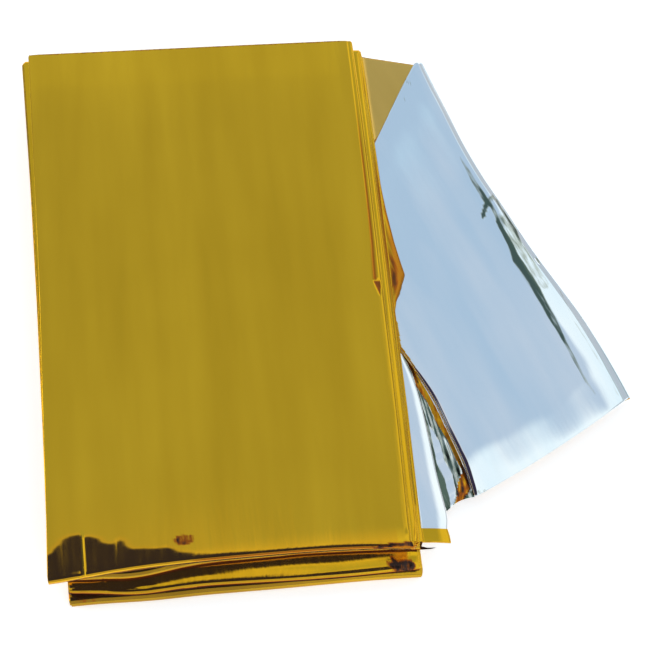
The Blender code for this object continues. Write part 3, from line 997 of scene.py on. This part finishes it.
def film_material(name, dark, light, shaded, black, rough, turned, bump, haze, beside=None):
    """A metallised film: streaks along its length, finer scratches, faint unevenness, and painted dark
    places.

    It goes from dark to light in streaks, and on to shaded and black where shade and dark reflections are
    painted. The two values of beside say where the painted darker reflection next to the packet is darkest
    and where that ends.
    """
    material, tree, surface = new_material(name)
    place = add_node(tree, "TexCoord").outputs["Object"]
    lengthways = add_node(tree, "Mapping", {"Vector": place, "Rotation": (0.0, 0.0, turned)}).outputs[0]
    stretched = squeezed(tree, lengthways, 0.12)
    streaks, fine = noise(tree, stretched, 260.0, 3.0), noise(tree, stretched, 900.0, 2.0)
    blotches, broad = noise(tree, place, 38.0, 2.0), noise(tree, stretched, 95.0, 1.5)
    tone = math_of(tree, "MULTIPLY_ADD", blotches, 0.4, broad)
    tone = ranged(tree, math_of(tree, "MULTIPLY_ADD", streaks, 0.4, tone), 0.65, 1.15)
    # a painted darker reflection on the film next to the packet
    if beside:
        x, y, _ = add_node(tree, "SeparateXYZ", {0: place}).outputs
        slanted = math_of(tree, "MULTIPLY_ADD", y, -0.2, x)
        tone = math_of(tree, "ADD", tone, ranged(tree, slanted, *beside, -0.5, 0.0), use_clamp=True)
    colour = mixed(tree, tone, dark, light)
    # the painted dark places, broken up by cracks where they are neither none nor full
    painted_dark = add_node(tree, "Attribute", attribute_name="painted_dark").outputs["Fac"]
    cracks = noise(tree, squeezed(tree, lengthways, 0.2 if beside else 0.3), 1100.0, 2.0)
    cracks = math_of(tree, "MULTIPLY_ADD", cracks, 5.0, -2.5)
    swing = math_of(tree, "MULTIPLY", math_of(tree, "SUBTRACT", 1.1, painted_dark), painted_dark)
    painted_dark = math_of(tree, "MULTIPLY_ADD", cracks, swing, painted_dark)
    shade = add_node(tree, "Attribute", attribute_name="shade").outputs["Fac"]
    painted_dark = math_of(tree, "MAXIMUM", painted_dark, shade)
    # how far the painted darkness and the painted shade go towards the shaded colour, and on to black
    half_dark, all_dark = ranged(tree, painted_dark, 0.08, 0.5), ranged(tree, painted_dark, 0.5, 0.85)
    colour = mixed(tree, ranged(tree, shade, -1.0, 0.0), (0.03, 0.02, 0.012, 1), colour)
    colour = mixed(tree, half_dark, colour, shaded)
    colour = mixed(tree, all_dark, colour, black)
    roughness = math_of(tree, "MULTIPLY_ADD", half_dark, 0.15, ranged(tree, fine, 0.3, 0.7, *rough))
    height = math_of(tree, "ADD", streaks, fine)
    uneven = add_node(tree, "Bump", {"Height": height, "Strength": bump, "Distance": 0.0002}).outputs[0]
    edge = (*(0.5 + part / 2 for part in light[:3]), 1)
    for socket, value in (
        ("Base Color", colour),
        ("Roughness", roughness),
        ("Normal", uneven),
        ("Coat Weight", ranged(tree, half_dark, 0.0, 1.0, haze, 0.1)),
        ("Specular Tint", mixed(tree, all_dark, edge, (0.4, 0.3, 0.25, 1))),
    ):
        tree.links.new(value, surface.inputs[socket])
    surface.inputs["Metallic"].default_value = 1.0
    surface.inputs["Coat Roughness"].default_value = 0.9
    return material


# ---- studio
def make_floor():
    """A plain pale floor."""
    mesh = bpy.data.meshes.new("floor")
    size = 6.0
    corners = [(-size, -size, 0), (size, -size, 0), (size, size, 0), (-size, size, 0)]
    mesh.from_pydata(corners, [], [(0, 1, 2, 3)])
    material, _, surface = new_material("floor_white")
    for socket, value in (
        ("Base Color", (0.93, 0.93, 0.93, 1)),
        ("Roughness", 0.9),
        ("Specular IOR Level", 0.1),
        ("Emission Color", (1, 1, 1, 1)),
        ("Emission Strength", 0.58),
    ):
        surface.inputs[socket].default_value = value
    mesh.materials.append(material)
    floor = new_object("floor", mesh)


def band(tree, value, low, high, soft):
    """1 between low and high, falling softly to 0 outside."""
    rising = ranged(tree, value, low - soft, low + soft, interpolation_type="SMOOTHSTEP")
    falling = ranged(tree, value, high - soft, high + soft, 1.0, 0.0, interpolation_type="SMOOTHSTEP")
    return math_of(tree, "MULTIPLY", rising, falling)


PALE = (0.64, 0.64, 0.67, 1)
WHITE = (0.92, 1.0, 1.03, 1)
SKY = (0.51, 0.612, 0.735, 1)
SKY_LOW = (0.575, 0.69, 0.80, 1)
DARK = (0.032, 0.024, 0.05, 1)
SLATE = (0.07, 0.09, 0.11, 1)
GREEN = (0.36, 0.40, 0.40, 1)
GLOW = (0.82, 0.82, 0.78, 1)
LAVENDER = (0.565, 0.585, 0.62, 1)
BACKDROP = (1.0, 1.0, 1.0, 1)


def make_world():
    """A pale room with a blue-grey ceiling window at the back and a dark place round the camera."""
    world = bpy.data.worlds.new("studio")
    bpy.context.scene.world = world
    world.use_nodes = True
    tree = world.node_tree
    direction = add_node(tree, "TexCoord").outputs["Generated"]
    x, y, z = add_node(tree, "SeparateXYZ", {0: direction}).outputs
    # in degrees: over the object from the back to the front, and from the left to the right
    over = math_of(tree, "DEGREES", math_of(tree, "ARCTAN2", z, y))
    side = math_of(tree, "DEGREES", math_of(tree, "ARCSINE", x))
    shifted = math_of(tree, "ADD", over, ranged(tree, side, 1.0, 8.0, 4.0, 0.0))
    colour = add_node(tree, "RGB").outputs[0]
    colour.default_value = PALE
    for tint, height, over_range, side_range, over_soft, side_soft in (
        (WHITE, shifted, (10, 165), (8, 90), 4, 4),
        (LAVENDER, shifted, (-10, 190), (60, 91), 2, 2),
        (LAVENDER, shifted, (-40, 31), (40, 91), 2, 2),
        (GREEN, shifted, (33, 125), (47, 57), 2, 1.5),
        (SLATE, shifted, (10, 125), (-64, -25), 3, 3),
        (GLOW, shifted, (80, 92), (0, 14), 2, 2),
        (SKY, shifted, (20, 83), (-26, 31), 4, 5),
        (DARK, shifted, (89, 126), (-34, 12.5), 2, 2),
        (SKY_LOW, over, (20, 58.9), (-26, 9.5), 1.2, 1.5),
    ):
        first, second = band(tree, height, *over_range, over_soft), band(tree, side, *side_range, side_soft)
        colour = mixed(tree, math_of(tree, "MULTIPLY", first, second), colour, tint)
    seen = add_node(tree, "LightPath").outputs["Is Camera Ray"]
    colour = mixed(tree, seen, colour, BACKDROP)
    tree.links.new(colour, tree.nodes["Background"].inputs["Color"])


def make_light():
    """A soft lamp on the left."""
    lamp = bpy.data.lights.new("left_soft", "AREA")
    lamp.shape = "DISK"
    lamp.size = 0.6
    lamp.energy = 5.0
    light = new_object("left_soft", lamp)
    light.location = (-1.1, 0.3, 0.55)
    light.rotation_euler = (-light.location).to_track_quat("-Z", "Y").to_euler()


# The photograph's camera: where it stands, and the directions of its right, its top and its back
CAMERA_PLACE = (-14.93, -126.18, 322.73)
CAMERA_AXES = (
    (0.99031, -0.10791, 0.08747),
    (0.06968, 0.93066, 0.35918),
    (-0.12017, -0.3496, 0.92916),
)


def make_camera():
    lens = bpy.data.cameras.new("camera")
    lens.lens = 77.98
    lens.sensor_width = 36.0  # so a field of view of 26 degrees
    lens.clip_start = 0.01
    camera = new_object("camera", lens)
    turned = Matrix(CAMERA_AXES).transposed().to_4x4()
    camera.matrix_world = Matrix.Translation(Vector(CAMERA_PLACE) * MM) @ turned
    bpy.context.scene.camera = camera


# ---- the scene
# shaded and black are the colours of painted shade and dark reflections; bump and haze belong to the film
GOLD_SHADE_AND_FINISH = {"shaded": (0.45, 0.12, 0.012, 1), "black": (0.05, 0.03, 0.025, 1), "bump": 0.09, "haze": 0.7}
SILVER_SHADE_AND_FINISH = {"shaded": (0.52, 0.56, 0.50, 1), "black": (0.10, 0.145, 0.115, 1), "bump": 0.05, "haze": 0.1}
PLEAT_TURN = -0.38  # the loose pleat's streaks run along its own right edge
gold = film_material(
    "gold_film", (0.71, 0.39, 0.006, 1), (0.84, 0.475, 0.012, 1), rough=(0.05, 0.11), turned=0.0, **GOLD_SHADE_AND_FINISH
)
pale_gold = film_material(
    "pale_gold_film", (0.72, 0.44, 0.09, 1), (0.86, 0.53, 0.12, 1), rough=(0.10, 0.2), turned=PLEAT_TURN,
    **GOLD_SHADE_AND_FINISH
)
silver = film_material(
    "silver_film", (0.77, 0.885, 0.955, 1), (0.99, 1, 1, 1), rough=(0.04, 0.09), turned=PLEAT_TURN,
    beside=(0.042, 0.054), **SILVER_SHADE_AND_FINISH
)

packet = make_packet(gold)
flap = make_flap(silver, gold, pale_gold)
for piece in (packet, flap):
    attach(piece, "root")
    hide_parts("foil_blanket")

make_floor()
make_world()
make_light()
make_camera()
bpy.context.scene.view_settings.view_transform = "Standard"
